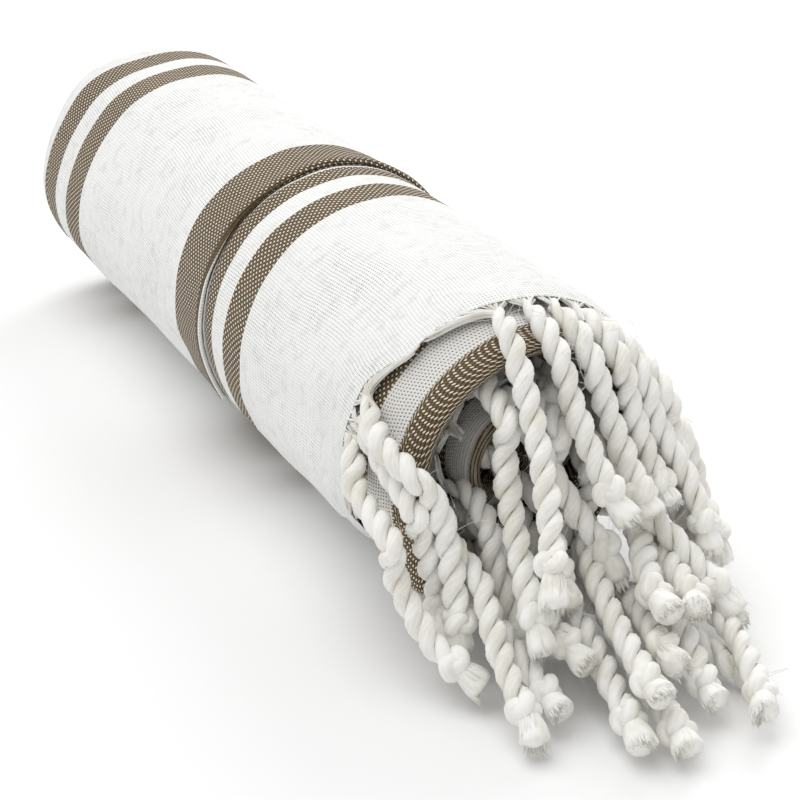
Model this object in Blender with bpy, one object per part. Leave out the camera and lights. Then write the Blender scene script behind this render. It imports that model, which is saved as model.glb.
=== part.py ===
"""Hammam towel: a flat-woven striped cotton bath cloth with twisted and knotted fringes.

The cloth is folded in half across its width, then in half and in thirds along its length,
which brings both fringed ends together at one end of a long flat package. The package is
rolled up across its length and lies on its side. X runs along the roll, with the fringes
at +X. The origin is under the middle of the whole towel, on the surface it lies on.
"""

import math

import bmesh
import bpy
import numpy as np
from mathutils import Vector

# The folded package, in metres.
PACK_THICK = 0.0109  # twelve layers of cloth, pressed together
FRINGE_PLIES = 0.0036  # the four layers whose edges carry the fringes
FOLD_ROUND = 0.012  # length over which a fold of eight layers rounds off
LOOSE_EDGE_SHARE = 0.30  # thickness left at the loose edge, where the layers end in steps

# The roll.
ROLL_RADIUS = 0.0456
TURN_PITCH = 0.0118  # loss of radius in each turn
STEP_TURNS = 0.10  # the end of each turn, in which the package climbs down under the next
TURNS = 3.2
LOOSE_EDGE_ANGLE = math.radians(330)  # seen from the fringes, anticlockwise from +Y
LOOSE_EDGE_TURNS = 0.11  # how far the steps of the loose edge reach into the roll
CORE_SHARE = 0.45  # thickness left at the squeezed start of the roll, in its core
CORE_TURNS = 0.30
FLAT_WIDTH = 0.022  # the resting spot under the roll
STATIONS_PER_TURN = 20

# Where the package ends along the roll, by turns in from the loose edge.
END_COLUMNS = ("turn", "fringe_x", "fold_x", "far_x")
END_ROWS = (
    (0.00, 0.0900, 0.1150, -0.1590),
    (0.26, 0.0880, 0.1210, -0.1590),
    (0.34, 0.0915, 0.1235, -0.1600),
    (0.42, 0.0945, 0.1225, -0.1610),
    (0.50, 0.0975, 0.1215, -0.1605),
    (0.56, 0.1050, 0.1215, -0.1600),
    (0.68, 0.1080, 0.1215, -0.1585),
    (0.82, 0.1085, 0.1200, -0.1580),
    (1.01, 0.1040, 0.1180, -0.1590),
    (1.21, 0.0980, 0.1150, -0.1585),
    (1.41, 0.0860, 0.1010, -0.1560),
    (1.86, 0.0850, 0.0990, -0.1545),
    (2.16, 0.0960, 0.1080, -0.1530),
    (2.36, 0.1040, 0.1150, -0.1530),
    (2.76, 0.1060, 0.1170, -0.1510),
    (3.16, 0.1030, 0.1150, -0.1500),
)
FLARE_FROM = 0.100  # past this the fold under the fringe leans in towards the axis
FLARE_LEAN = 0.0015
FLARE_TURNS = 1.3

# The pleat across the outer turn: its lip stands up on the far side, and the cloth from the
# fringes sinks under it.
PLEAT_X = -0.0030
PLEAT_SKEW = 0.0026
PLEAT_TOP_TURN = 0.62
PLEAT_RISE = 0.0012
PLEAT_SINK = 0.0007
PLEAT_LAST_TURN = 0.98

# Soft troughs (positive depth) and ridges in the outer face.
CREASE_COLUMNS = ("x", "degrees", "depth", "half_length", "half_degrees")
CREASE_ROWS = (
    (0.070, 178, 0.0016, 0.030, 12),
    (0.086, 196, -0.0010, 0.020, 10),
    (0.050, 160, 0.0007, 0.026, 14),
    (-0.060, 176, 0.0009, 0.045, 16),
    (-0.120, 150, 0.0015, 0.050, 24),
    (-0.140, 192, -0.0016, 0.050, 16),
    (-0.140, 100, 0.0012, 0.030, 20),
    (-0.090, 40, 0.0012, 0.050, 20),
    (0.060, 30, 0.0010, 0.040, 18),
    (0.010, 350, 0.0012, 0.050, 16),
    (0.128, 226, -0.0130, 0.020, 17),
)

# The fringe: twisted cords that hang from the four fringed layers.
CORD_RADIUS = 0.0031
CORD_SIDES_RESOLUTION = 1
ROOT_RADIUS = 0.0013
HEADING_LENGTH = 0.0026
HEADING_THICK = 0.0030
GAP = 0.0004
ROOM = 0.0003  # the least distance of the fringe from the roll
KNOT_SWELL = 1.5
TUFT_SWELL = 1.75

# The cords that show, by the turn at which they leave the edge and three places that they
# pass: over the end of the roll, on the way down, and the tip.
SHOWN_COLUMNS = (
    ("turn",)
    + ("over_x", "over_y", "over_z")
    + ("mid_x", "mid_y", "mid_z")
    + ("tip_x", "tip_y", "tip_z")
)
SHOWN_ROWS = (
    (0.455, 0.108, -0.046, 0.043, 0.124, -0.046, 0.024, 0.153, -0.034, 0.007),
    (0.492, 0.120, -0.042, 0.055, 0.130, -0.028, 0.034, 0.142, -0.036, 0.010),
    (0.470, 0.123, -0.036, 0.040, 0.127, -0.034, 0.026, 0.130, -0.031, 0.010),
    (0.642, 0.122, -0.009, 0.082, 0.140, -0.009, 0.057, 0.163, -0.020, 0.034),
    (0.675, 0.122, 0.002, 0.082, 0.134, 0.004, 0.060, 0.151, 0.008, 0.042),
    (0.703, 0.122, 0.011, 0.080, 0.131, 0.016, 0.056, 0.145, 0.021, 0.036),
    (0.730, 0.122, 0.020, 0.077, 0.128, 0.024, 0.056, 0.143, 0.029, 0.034),
    (0.762, 0.121, 0.028, 0.071, 0.129, 0.032, 0.050, 0.150, 0.037, 0.024),
    (0.800, 0.121, 0.035, 0.063, 0.128, 0.039, 0.042, 0.143, 0.043, 0.022),
    (0.855, 0.120, 0.041, 0.048, 0.129, 0.045, 0.028, 0.142, 0.047, 0.013),
    (0.900, 0.120, 0.041, 0.036, 0.134, 0.043, 0.016, 0.158, 0.040, 0.007),
    (1.640, 0.121, -0.016, 0.064, 0.131, -0.014, 0.038, 0.159, -0.021, 0.015),
    (1.700, 0.124, -0.002, 0.046, 0.132, -0.003, 0.031, 0.152, -0.010, 0.018),
    (1.760, 0.125, 0.012, 0.030, 0.154, 0.004, 0.018, 0.189, -0.004, 0.013),
    (1.820, 0.124, 0.025, 0.033, 0.141, 0.018, 0.027, 0.169, 0.010, 0.024),
    (1.880, 0.125, 0.033, 0.028, 0.142, 0.026, 0.025, 0.171, 0.017, 0.024),
    (2.500, 0.124, 0.020, 0.016, 0.140, 0.017, 0.013, 0.178, 0.004, 0.016),
    (1.040, 0.126, 0.038, 0.020, 0.149, 0.038, 0.010, 0.196, 0.022, 0.007),
)
# The cords beneath them, by the turn at which they leave the edge and the place of their tip.
UNDER_COLUMNS = ("turn", "tip_x", "tip_y", "tip_z")
UNDER_ROWS = (
    (1.140, 0.178, 0.030, 0.006),
    (1.180, 0.156, 0.024, 0.006),
    (1.230, 0.162, -0.002, 0.006),
    (1.290, 0.172, -0.022, 0.006),
    (1.350, 0.177, -0.031, 0.006),
    (1.940, 0.187, 0.013, 0.006),
    (2.060, 0.198, -0.002, 0.006),
    (2.180, 0.190, -0.010, 0.006),
    (2.300, 0.166, -0.009, 0.012),
    (2.360, 0.152, -0.020, 0.008),
    (2.620, 0.146, 0.010, 0.018),
    (2.740, 0.164, 0.034, 0.012),
)
NECK_DROP = 0.0010  # a cord beneath passes this far from the package's mid face
UNDER_MID_SHARES = (0.55, 0.67, 0.70)  # how far it has gone by the middle of its run
ROUTE_POINTS = 11
CURVE_STEPS = 12
FIXED_POINTS = 3
ROUNDS = 90

COTTON_WHITE = (0.86, 0.86, 0.84, 1.0)
FRINGE_WHITE = (0.83, 0.82, 0.78, 1.0)


def smooth(value):
    """0 to 1 with level ends."""
    value = min(max(value, 0.0), 1.0)
    return value * value * (3.0 - 2.0 * value)


def from_rows(rows, column, at):
    """The column's value at `at` in the first column, eased between the rows."""
    if at <= rows[0][0]:
        return rows[0][column]
    for low, high in zip(rows, rows[1:]):
        if at <= high[0]:
            share = smooth((at - low[0]) / (high[0] - low[0]))
            return low[column] + (high[column] - low[column]) * share
    return rows[-1][column]


def fringe_x(turn):
    return from_rows(END_ROWS, END_COLUMNS.index("fringe_x"), turn)


def fold_x(turn):
    return from_rows(END_ROWS, END_COLUMNS.index("fold_x"), turn)


def far_x(turn):
    return from_rows(END_ROWS, END_COLUMNS.index("far_x"), turn)


def turned_by(angle, middle):
    """The angle from `middle`, between -180 and 180 degrees, as a share of a half turn."""
    return math.remainder(angle - middle, 2 * math.pi)


def crease(x, angle):
    """How far the soft creases push a point towards the axis."""
    push = 0.0
    for row_x, degrees, depth, half_length, half_degrees in CREASE_ROWS:
        along = (x - row_x) / half_length
        across = turned_by(angle, math.radians(degrees)) / math.radians(half_degrees)
        push += depth * math.exp(-along * along - across * across)
    return push


def off_floor(angle):
    """1 on the free sides and top of the roll, 0 where it is pressed on the surface."""
    return smooth((math.sin(angle) + 0.92) / 0.35)


def radius_at(turn):
    """The roll's radius to the package's outer face: level, with a step at each turn's end."""
    whole = math.floor(turn)
    step = smooth((turn - whole - (1 - STEP_TURNS)) / STEP_TURNS)
    return ROLL_RADIUS - TURN_PITCH * (whole + step)


def wound(turn, x, out):
    """The place of a point of the package: `turn` turns in, `x` along the roll, and `out`
    beyond the package's mid face."""
    angle = LOOSE_EDGE_ANGLE - 2 * math.pi * turn
    half = PACK_THICK / 2
    loose = LOOSE_EDGE_SHARE + (1 - LOOSE_EDGE_SHARE) * smooth(turn / LOOSE_EDGE_TURNS)
    core = CORE_SHARE + (1 - CORE_SHARE) * smooth((TURNS - turn) / CORE_TURNS)
    out = (out + half) * loose - half
    out = half - (half - out) * core
    if turn < FLARE_TURNS:
        out -= FLARE_LEAN * smooth((x - FLARE_FROM) / (fold_x(turn) - FLARE_FROM))
    radius = radius_at(turn) - half + out
    radius -= crease(x, angle) * off_floor(angle) * radius / ROLL_RADIUS
    y = radius * math.cos(angle)
    z = radius * math.sin(angle)
    return Vector((x, y, pressed(y, z)))


def pressed(y, z):
    """The height over the surface of a point of the roll, given from its axis, once the
    roll's weight has pressed its underside flat."""
    axis_z = math.sqrt(ROLL_RADIUS**2 - (FLAT_WIDTH / 2) ** 2)
    round_under = axis_z - math.sqrt(ROLL_RADIUS**2 - min(abs(y), ROLL_RADIUS) ** 2)
    lift = max(0.0, -round_under)
    above = max(0.0, z + axis_z - round_under) / ROLL_RADIUS
    return max(z + axis_z + lift * max(0.0, 1 - above), 0.0)


def pleat_share(turn):
    return smooth((turn - 0.02) / 0.10) * smooth((PLEAT_LAST_TURN - turn) / 0.15)


def package_outline(turn):
    """The lengthwise section of the package as (x, out) points, anticlockwise from the
    fringe."""
    top = PACK_THICK / 2
    near = fringe_x(turn)
    fold = fold_x(turn)
    far = far_x(turn)
    lip = PLEAT_X - PLEAT_SKEW * math.sin(2 * math.pi * (turn - PLEAT_TOP_TURN))
    share = pleat_share(turn)
    under = top - FRINGE_PLIES
    round_x = FOLD_ROUND
    return (
        (near, under),
        (near, top),
        ((near + lip) / 2, top),
        (lip + 0.016, top),
        (lip + 0.0008, top - PLEAT_SINK * share),
        (lip, top + 0.5 * PLEAT_RISE * share),
        (lip - 0.002, top + PLEAT_RISE * share),
        (lip - 0.018, top + 0.2 * PLEAT_RISE * share),
        ((lip + far) / 2, top),
        (far + round_x, top),
        (far + 0.3 * round_x, 0.72 * top),
        (far, 0.20 * top),
        (far + 0.25 * round_x, -0.60 * top),
        (far + round_x, -top),
        ((near + far) / 2, -top),
        (fold - 1.3 * round_x, -top),
        (fold - 0.35 * round_x, -0.85 * top),
        (fold, -0.40 * top),
        (fold - 0.20 * round_x, 0.02 * top),
        (fold - 0.60 * round_x, 0.8 * under),
    )


def loft(name, sections):
    """A closed solid through loops of equal count, with a flat cap on each end."""
    count = len(sections[0])
    points = [point for section in sections for point in section]
    faces = []
    for row in range(len(sections) - 1):
        for column in range(count):
            beside = (column + 1) % count
            low = row * count
            high = low + count
            faces.append((low + column, high + column, high + beside, low + beside))
    faces.append(tuple(range(count)))
    faces.append(tuple(reversed(range(len(points) - count, len(points)))))
    mesh = bpy.data.meshes.new(name)
    mesh.from_pydata(points, [], faces)
    mesh.validate()
    return bpy.data.objects.new(name, mesh)


def turns_between(first, last):
    steps = max(2, round((last - first) * STATIONS_PER_TURN))
    return [first + (last - first) * step / steps for step in range(steps + 1)]


def grown(outline, by):
    """The anticlockwise outline with every point moved outwards by `by`."""
    moved = []
    for index, (x, out) in enumerate(outline):
        before = outline[index - 1]
        after = outline[(index + 1) % len(outline)]
        along = (after[0] - before[0], after[1] - before[1])
        length = math.hypot(*along)
        moved.append((x + along[1] / length * by, out - along[0] / length * by))
    return moved


def make_roll(name, room=0.0):
    """The package wound up: one solid with the step of its layers at the fringed end.
    With `room` it is that much larger all round."""
    sections = []
    for turn in turns_between(0.0, TURNS):
        outline = grown(package_outline(turn), room)
        sections.append([wound(turn, x, out) for x, out in outline])
    return loft(name, sections)


def make_heading():
    """The narrow band of gathered threads along the fringed edge, from which the cords hang."""
    top = PACK_THICK / 2 - GAP / 2
    sections = []
    for turn in turns_between(0.0, TURNS)[1:-1]:
        near = fringe_x(turn) + GAP
        corners = (
            (near, top - HEADING_THICK),
            (near + HEADING_LENGTH, top - HEADING_THICK),
            (near + HEADING_LENGTH, top),
            (near, top),
        )
        sections.append([wound(turn, x, out) for x, out in corners])
    return loft("fringe", list(reversed(sections)))


def smooth_curve(points):
    """Closely spaced places on a smooth curve that passes through the points."""
    padded = [2 * points[0] - points[1], *points, 2 * points[-1] - points[-2]]
    share = np.linspace(0, 1, CURVE_STEPS, endpoint=False)[:, None]
    curve = []
    for a, b, c, d in zip(padded, padded[1:], padded[2:], padded[3:]):
        bend = (2 * a - 5 * b + 4 * c - d) * share**2 + (3 * b - a - 3 * c + d) * share**3
        curve.append(0.5 * (2 * b + (c - a) * share + bend))
    return np.vstack(curve + [points[-1:]])


def first_route(row):
    """The run of one cord: out of the heading, past the fold, down and along."""
    turn = row[0]
    mid_out = PACK_THICK / 2 - GAP / 2 - HEADING_THICK / 2
    root = np.array(wound(turn, fringe_x(turn) + GAP + HEADING_LENGTH * 0.6, mid_out))
    tip = np.array(row[-3:])
    if len(row) == len(SHOWN_COLUMNS):
        over, mid = np.array(row[1:4]), np.array(row[4:7])
    else:
        past_fold = max(fold_x(turn), fold_x(turn - 1)) + CORD_RADIUS + GAP
        over = np.array(wound(turn, past_fold, NECK_DROP))
        over[2] = max(over[2], CORD_RADIUS + GAP)
        mid = over + (tip - over) * UNDER_MID_SHARES
    curve = smooth_curve(np.array((root, over, mid, tip)))
    along = np.concatenate([[0], np.cumsum(np.linalg.norm(np.diff(curve, axis=0), axis=1))])
    even = np.linspace(0, along[-1], ROUTE_POINTS)
    return np.stack([np.interp(even, along, curve[:, axis]) for axis in range(3)], axis=1)


def radii_along():
    """A cord is drawn together at its root, has a knot before its end and then a tuft."""
    body = [CORD_RADIUS] * (ROUTE_POINTS - 5)
    return [ROOT_RADIUS, 0.8 * CORD_RADIUS] + body + [
        CORD_RADIUS * KNOT_SWELL,
        CORD_RADIUS * TUFT_SWELL,
        CORD_RADIUS * 1.1,
    ]


def moved_apart(routes, radii):
    """Cords that would run through each other move apart by half of what they share, again
    and again, while each stays an even curve near its own run and above the surface."""
    start = np.array(routes)
    places = start.copy()
    count = places.shape[0] * places.shape[1]
    owner = np.repeat(np.arange(len(routes)), ROUTE_POINTS)
    strangers = owner[:, None] != owner[None, :]
    thick = np.tile(np.array(radii), len(routes))
    reach = thick[:, None] + thick[None, :] + GAP
    face_x = max(row[END_COLUMNS.index("fold_x")] for row in END_ROWS) + GAP
    face_x = face_x + np.array(radii)[FIXED_POINTS:]
    for _ in range(ROUNDS):
        flat = places.reshape(count, 3)
        apart = flat[:, None] - flat[None, :]
        distance = np.linalg.norm(apart, axis=2) + 1e-9
        shared = np.where(strangers & (distance < reach), reach - distance, 0.0)
        push = (apart * (0.5 * shared / distance)[:, :, None]).sum(axis=1)
        push /= np.maximum((shared > 0).sum(axis=1), 1)[:, None]
        moved = (flat + push).reshape(places.shape)
        moved[:, 1:-1] += 0.10 * (moved[:, :-2] + moved[:, 2:] - 2 * moved[:, 1:-1])
        moved += 0.03 * (start - moved)
        moved[..., 2] = np.maximum(moved[..., 2], thick.reshape(len(routes), -1) + GAP)
        moved[:, FIXED_POINTS:, 0] = np.maximum(moved[:, FIXED_POINTS:, 0], face_x)
        places[:, FIXED_POINTS:] = moved[:, FIXED_POINTS:]
    return places


def tube(name, route, radii):
    """A closed tube mesh along the route, swelling to each point's radius."""
    curve = bpy.data.curves.new(name, "CURVE")
    curve.dimensions = "3D"
    curve.bevel_depth = 1.0
    curve.bevel_resolution = CORD_SIDES_RESOLUTION
    curve.use_fill_caps = True
    spline = curve.splines.new("POLY")
    spline.points.add(len(route) - 1)
    for point, place, radius in zip(spline.points, route, radii):
        point.co = (*place, 1.0)
        point.radius = radius
    return bpy.data.objects.new(name, curve)


def as_closed_mesh(source, collection):
    """Replaces a curve object by a mesh object whose caps are welded to its sides."""
    graph = bpy.context.evaluated_depsgraph_get()
    mesh = bpy.data.meshes.new_from_object(source.evaluated_get(graph))
    name = source.name
    bpy.data.objects.remove(source)
    shaped = bmesh.new()
    shaped.from_mesh(mesh)
    bmesh.ops.remove_doubles(shaped, verts=shaped.verts, dist=1e-6)
    bmesh.ops.recalc_face_normals(shaped, faces=shaped.faces)
    shaped.to_mesh(mesh)
    shaped.free()
    solid = bpy.data.objects.new(name, mesh)
    collection.objects.link(solid)
    return solid


def make_fringe(collection, helpers):
    """The heading with every cord joined to it: one comb."""
    heading = make_heading()
    collection.objects.link(heading)
    rows = SHOWN_ROWS + UNDER_ROWS
    radii = radii_along()
    routes = moved_apart([first_route(row) for row in rows], radii)
    for index, route in enumerate(routes):
        curve = tube(f"cord_{index:02d}", route, radii)
        helpers.objects.link(curve)
        cord = as_closed_mesh(curve, helpers)
        cord.hide_render = True
        cord.display_type = "WIRE"
    join = heading.modifiers.new("join cords", "BOOLEAN")
    join.operation = "UNION"
    join.operand_type = "COLLECTION"
    join.collection = helpers
    join.solver = "EXACT"
    room = make_roll("room_of_roll", ROOM)
    room.hide_render = True
    collection.objects.link(room)
    clear = heading.modifiers.new("clear of roll", "BOOLEAN")
    clear.operation = "DIFFERENCE"
    clear.object = room
    clear.solver = "EXACT"
    comb = keep_outer_shell(heading, collection, helpers)
    bpy.data.objects.remove(room)
    return comb


def shells_of(shaped):
    """The connected groups of faces of a bmesh."""
    left = set(shaped.faces)
    shells = []
    while left:
        start = left.pop()
        shell = [start]
        edge_of_search = [start]
        while edge_of_search:
            face = edge_of_search.pop()
            for edge in face.edges:
                for beside in edge.link_faces:
                    if beside in left:
                        left.remove(beside)
                        shell.append(beside)
                        edge_of_search.append(beside)
        shells.append(shell)
    return shells


def keep_outer_shell(joined, collection, helpers):
    """The joined comb without the closed pockets that crossing cords leave between them."""
    graph = bpy.context.evaluated_depsgraph_get()
    mesh = bpy.data.meshes.new_from_object(joined.evaluated_get(graph))
    name = joined.name
    for helper in list(helpers.objects) + [joined]:
        bpy.data.objects.remove(helper)
    shaped = bmesh.new()
    shaped.from_mesh(mesh)
    shells = sorted(shells_of(shaped), key=len)
    pockets = [face for shell in shells[:-1] for face in shell]
    bmesh.ops.delete(shaped, geom=pockets, context="FACES")
    shaped.to_mesh(mesh)
    shaped.free()
    comb = bpy.data.objects.new(name, mesh)
    collection.objects.link(comb)
    return comb


def cotton(name, colour):
    """Undyed cotton: no metal, no gloss."""
    material = bpy.data.materials.new(name)
    material.use_nodes = True
    shader = material.node_tree.nodes["Principled BSDF"]
    shader.inputs["Base Color"].default_value = colour
    shader.inputs["Roughness"].default_value = 0.95
    shader.inputs["Metallic"].default_value = 0.0
    return material


def stand_on_origin(objects):
    """Centres the footprint of the objects on the origin by one parent empty."""
    graph = bpy.context.evaluated_depsgraph_get()
    corners = []
    for item in objects:
        evaluated = item.evaluated_get(graph)
        corners.extend(evaluated.matrix_world @ Vector(corner) for corner in evaluated.bound_box)
    frame = bpy.data.objects.new("towel_frame", None)
    objects[0].users_collection[0].objects.link(frame)
    for axis in (0, 1):
        side = [corner[axis] for corner in corners]
        frame.location[axis] = -(min(side) + max(side)) / 2
    for item in objects:
        item.parent = frame


def main():
    for item in list(bpy.data.objects):
        bpy.data.objects.remove(item)
    towel = bpy.data.collections.new("hammam_towel")
    helpers = bpy.data.collections.new("cord_solids")
    bpy.context.scene.collection.children.link(towel)
    bpy.context.scene.collection.children.link(helpers)
    roll = make_roll("towel_roll")
    towel.objects.link(roll)
    roll.data.materials.append(cotton("woven_cotton", COTTON_WHITE))
    fringe = make_fringe(towel, helpers)
    fringe.data.materials.append(cotton("fringe_cotton", FRINGE_WHITE))
    bpy.context.view_layer.update()
    stand_on_origin([roll, fringe])


main()
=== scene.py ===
"""Rolled hammam towel: striped plain-weave cotton with twisted, knotted fringes.

One sheet of cloth is laid in its twelve folded layers and wound up as a roll. The fringes are
twisted from two strands each, and hang from the edge of the four outer layers of each turn.
"""

import math

import bpy
import numpy as np
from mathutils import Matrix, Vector


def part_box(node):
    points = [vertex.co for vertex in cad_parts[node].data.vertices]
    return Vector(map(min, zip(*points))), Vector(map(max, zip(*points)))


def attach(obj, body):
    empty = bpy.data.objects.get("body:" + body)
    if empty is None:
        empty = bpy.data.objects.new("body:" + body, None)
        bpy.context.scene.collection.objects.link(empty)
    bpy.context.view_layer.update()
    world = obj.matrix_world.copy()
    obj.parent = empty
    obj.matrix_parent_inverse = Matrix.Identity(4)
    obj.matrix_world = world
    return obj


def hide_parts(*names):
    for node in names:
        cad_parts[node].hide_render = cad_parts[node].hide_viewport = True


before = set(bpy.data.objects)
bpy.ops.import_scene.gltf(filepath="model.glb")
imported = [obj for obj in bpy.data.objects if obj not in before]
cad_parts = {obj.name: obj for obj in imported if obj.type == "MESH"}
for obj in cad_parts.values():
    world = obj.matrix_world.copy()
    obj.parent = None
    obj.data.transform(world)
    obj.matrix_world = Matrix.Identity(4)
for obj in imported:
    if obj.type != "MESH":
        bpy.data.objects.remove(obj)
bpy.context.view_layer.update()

# The folded package and the roll, in metres. The sizes are the solid's, but the fold under the
# fringe leans in further here.
PACK_THICK = 0.0109
LAYER = PACK_THICK / 12
LOOSE_EDGE_SHARE = 0.30
ROLL_RADIUS = 0.0456
TURN_PITCH = 0.0118
STEP_TURNS = 0.10
TURNS = 3.2
LOOSE_EDGE_ANGLE = math.radians(330)
LOOSE_EDGE_TURNS = 0.11
CORE_SHARE = 0.45
CORE_TURNS = 0.30
FLAT_WIDTH = 0.022
END_COLUMNS = ("turn", "fringe_x", "fold_x", "far_x")
END_ROWS = (
    (0.00, 0.0900, 0.1150, -0.1590),
    (0.26, 0.0880, 0.1210, -0.1590),
    (0.34, 0.0915, 0.1235, -0.1600),
    (0.42, 0.0945, 0.1225, -0.1610),
    (0.50, 0.0975, 0.1215, -0.1605),
    (0.56, 0.1050, 0.1215, -0.1600),
    (0.68, 0.1080, 0.1215, -0.1585),
    (0.82, 0.1085, 0.1200, -0.1580),
    (1.01, 0.1040, 0.1180, -0.1590),
    (1.21, 0.0980, 0.1150, -0.1585),
    (1.41, 0.0860, 0.1010, -0.1560),
    (1.86, 0.0850, 0.0990, -0.1545),
    (2.16, 0.0960, 0.1080, -0.1530),
    (2.36, 0.1040, 0.1150, -0.1530),
    (2.76, 0.1060, 0.1170, -0.1510),
    (3.16, 0.1030, 0.1150, -0.1500),
)
FLARE_FROM = 0.100
FLARE_LEAN = 0.0035
FLARE_TURNS = 1.3
TOWEL_Y = -0.0025  # the roll's axis beside the middle of the whole towel

# Soft troughs (positive depth) and ridges in the outer face: the solid's own, then finer ones.
CREASE_COLUMNS = ("x", "degrees", "depth", "half_length", "half_degrees")
CREASE_ROWS = (
    (0.070, 178, 0.0016, 0.030, 12),
    (0.086, 196, -0.0010, 0.020, 10),
    (0.050, 160, 0.0007, 0.026, 14),
    (-0.060, 176, 0.0009, 0.045, 16),
    (-0.120, 150, 0.0015, 0.050, 24),
    (-0.140, 192, -0.0016, 0.050, 16),
    (-0.140, 100, 0.0012, 0.030, 20),
    (-0.090, 40, 0.0012, 0.050, 20),
    (0.060, 30, 0.0010, 0.040, 18),
    (0.010, 350, 0.0012, 0.050, 16),
    (0.128, 226, -0.0130, 0.020, 17),
    (0.082, 150, -0.0007, 0.014, 7),
    (0.074, 128, 0.0006, 0.018, 6),
    (0.090, 112, -0.0005, 0.012, 9),
    (-0.100, 186, 0.0006, 0.012, 9),
    (-0.020, 202, 0.0007, 0.020, 7),
    (0.030, 190, -0.0006, 0.016, 8),
    (-0.060, 120, 0.0004, 0.018, 9),
    (-0.150, 128, -0.0007, 0.012, 12),
)
WAVE_DEPTH = 0.00022

# The pleat across the outer turn. The cloth from the fringes slips under a folded edge and
# comes back over itself, by the cloth's length past that edge: how far it then is along the
# roll from the edge, and how far it stands out.
PLEAT_X = -0.0030
PLEAT_SKEW = 0.0031
PLEAT_TOP_TURN = 0.62
PLEAT_FIRST_TURN = 0.02
PLEAT_LAST_TURN = 0.98
PLEAT_FADES_IN = 0.10
PLEAT_FADES_OUT = 0.12
PLEAT_TAKES = 0.0105
PLEAT_COLUMNS = ("past_edge", "along", "out")
PLEAT_ROWS = (
    (-0.0200, 0.0200, 0.0000),
    (-0.0030, 0.0030, -0.0001),
    (-0.0006, 0.0006, -0.0006),
    (0.0000, 0.0000, -0.0012),
    (0.0040, -0.0040, -0.0014),
    (0.0049, -0.0045, -0.0009),
    (0.0057, -0.0040, -0.0003),
    (0.0092, -0.0004, -0.0001),
    (0.0098, 0.0002, 0.0003),
    (0.0102, 0.0002, 0.0008),
    (0.0108, -0.0003, 0.0013),
    (0.0125, -0.0019, 0.0015),
    (0.0170, -0.0064, 0.0010),
    (0.0300, -0.0195, 0.0002),
    (0.0400, -0.0295, 0.0000),
)

# Where the cloth's own length is along the roll: pass by pass from the fringed end.
END_AT = 0.1085  # the roll's x where the cloth's length is zero
EDGE_EVEN_BY = 0.03  # length of cloth that takes up the unevenness of the fringed edge
FAR_ROUND = 0.0085
FAR_X = -0.161  # the furthest that the far end reaches
FAR_RUN_X = -0.125  # past this the outermost layer is drawn out to the far end
OUTER_LAST = END_AT + PLEAT_TAKES - FAR_X - FAR_ROUND
FAR_SKEW = 0.0035  # how far the stripes at the far end run askew
FAR_SKEW_TURN = 0.46
FAR_SKEW_FROM = 0.15
FAR_SKEW_OVER = 0.08
FOLD_ROUND = 0.0075
HALF_BACK = 0.0100
SECOND_PASS_AT = 0.300  # length of the cloth where its second pass is at SECOND_PASS_X
SECOND_PASS_X = -0.16
FOLD_TAKES = 0.018  # length of cloth in the fold at the fringed end
HALF_TAKES = 0.003  # extra length of cloth in the fold at its middle
LOOSE_PLY_TURN = 0.335  # where the outermost layer's selvedge lies
LOOSE_PLY_FAR_TURN = 0.05  # the same, once past the fold at the far end
SELVEDGE_TURNS = {"outer": 0.03, "far_first": 0.03, "inner": 0.05, "second_last": 0.02}
OUTER_BEND = 3.5  # the outermost of four layers, counted from the middle of their fold

# The fringed edge, where the four layers draw together below the outer face.
EDGE_LENGTH = 0.0055
EDGE_PLY = 0.00025
EDGE_DRAWN = 0.92
EDGE_DEPTH = 1.1  # in layers
CORNER_DEPTH = 2.3  # how much deeper it lies by the loose corner, in layers
CORNER_TURN = 0.46
CORNER_FADES = 0.10

# The cloth's grid: lengthwise it is fine on the outermost layer and where the ends show.
LIP_AT = END_AT - PLEAT_X
GRID_COLUMNS = ("stretch", "first", "last", "step")
GRID_ROWS = (
    ("outer", 0.0, 0.0066, 0.0011),
    ("outer", 0.0066, LIP_AT - 0.008, 0.0023),
    ("outer", LIP_AT - 0.008, LIP_AT + 0.018, 0.0006),
    ("outer", LIP_AT + 0.018, OUTER_LAST, 0.0023),
    ("far_first", 0.0, 1.0, 0.125),
    ("second_first", 0.0, 1.0, 0.2),
    ("near_first", 0.0, 1.0, 0.34),
    ("third_first", 0.0, 1.0, 0.2),
    ("half", 0.0, 1.0, 0.25),
    ("third_last", 0.0, 0.8, 0.2),
    ("third_last", 0.8, 1.0, 0.025),
    ("near_last", 0.0, 1.0, 0.05),
    ("second_last", 0.0, 0.15, 0.009),
    ("second_last", 0.15, 1.0, 0.14),
    ("far_last", 0.0, 1.0, 0.25),
    ("inner", 0.0, 0.9, 0.15),
    ("inner", 0.9, 1.0, 0.03),
)
OUTER_SHARE = 0.34  # share of the way to the core in which the rows lie closest
OUTER_ROW_COUNT = 116
CORE_ROW_COUNT = 105
BACK_ROW_COUNT = 146

# The woven stripes, by their distance from the cloth's end.
STRIPE_COLUMNS = ("from_end", "to_end")
STRIPE_ROWS = (
    (0.0800, 0.0922),
    (0.1010, 0.1095),
    (0.1197, 0.1425),
    (0.2338, 0.2475),
    (0.2583, 0.2710),
    (0.5580, 0.5635),
    (0.5740, 0.5950),
    (0.6600, 0.6720),
)
OPEN_BAND = (0.5635, 0.5740)
PLAIN_LINE = (0.1197, 0.1214)  # the first threads of the broad stripe, close together
THREAD_PITCH = 0.00102  # chosen for its look
THREAD_WANDER = 0.0011

# The fringe cords.
CORD_RADIUS = 0.0031
ROOT_RADIUS = 0.0013
HEADING_LENGTH = 0.0026
HEADING_THICK = 0.0030
GAP = 0.0004
KNOT_SWELL = 1.5
TUFT_SWELL = 1.75
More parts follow.
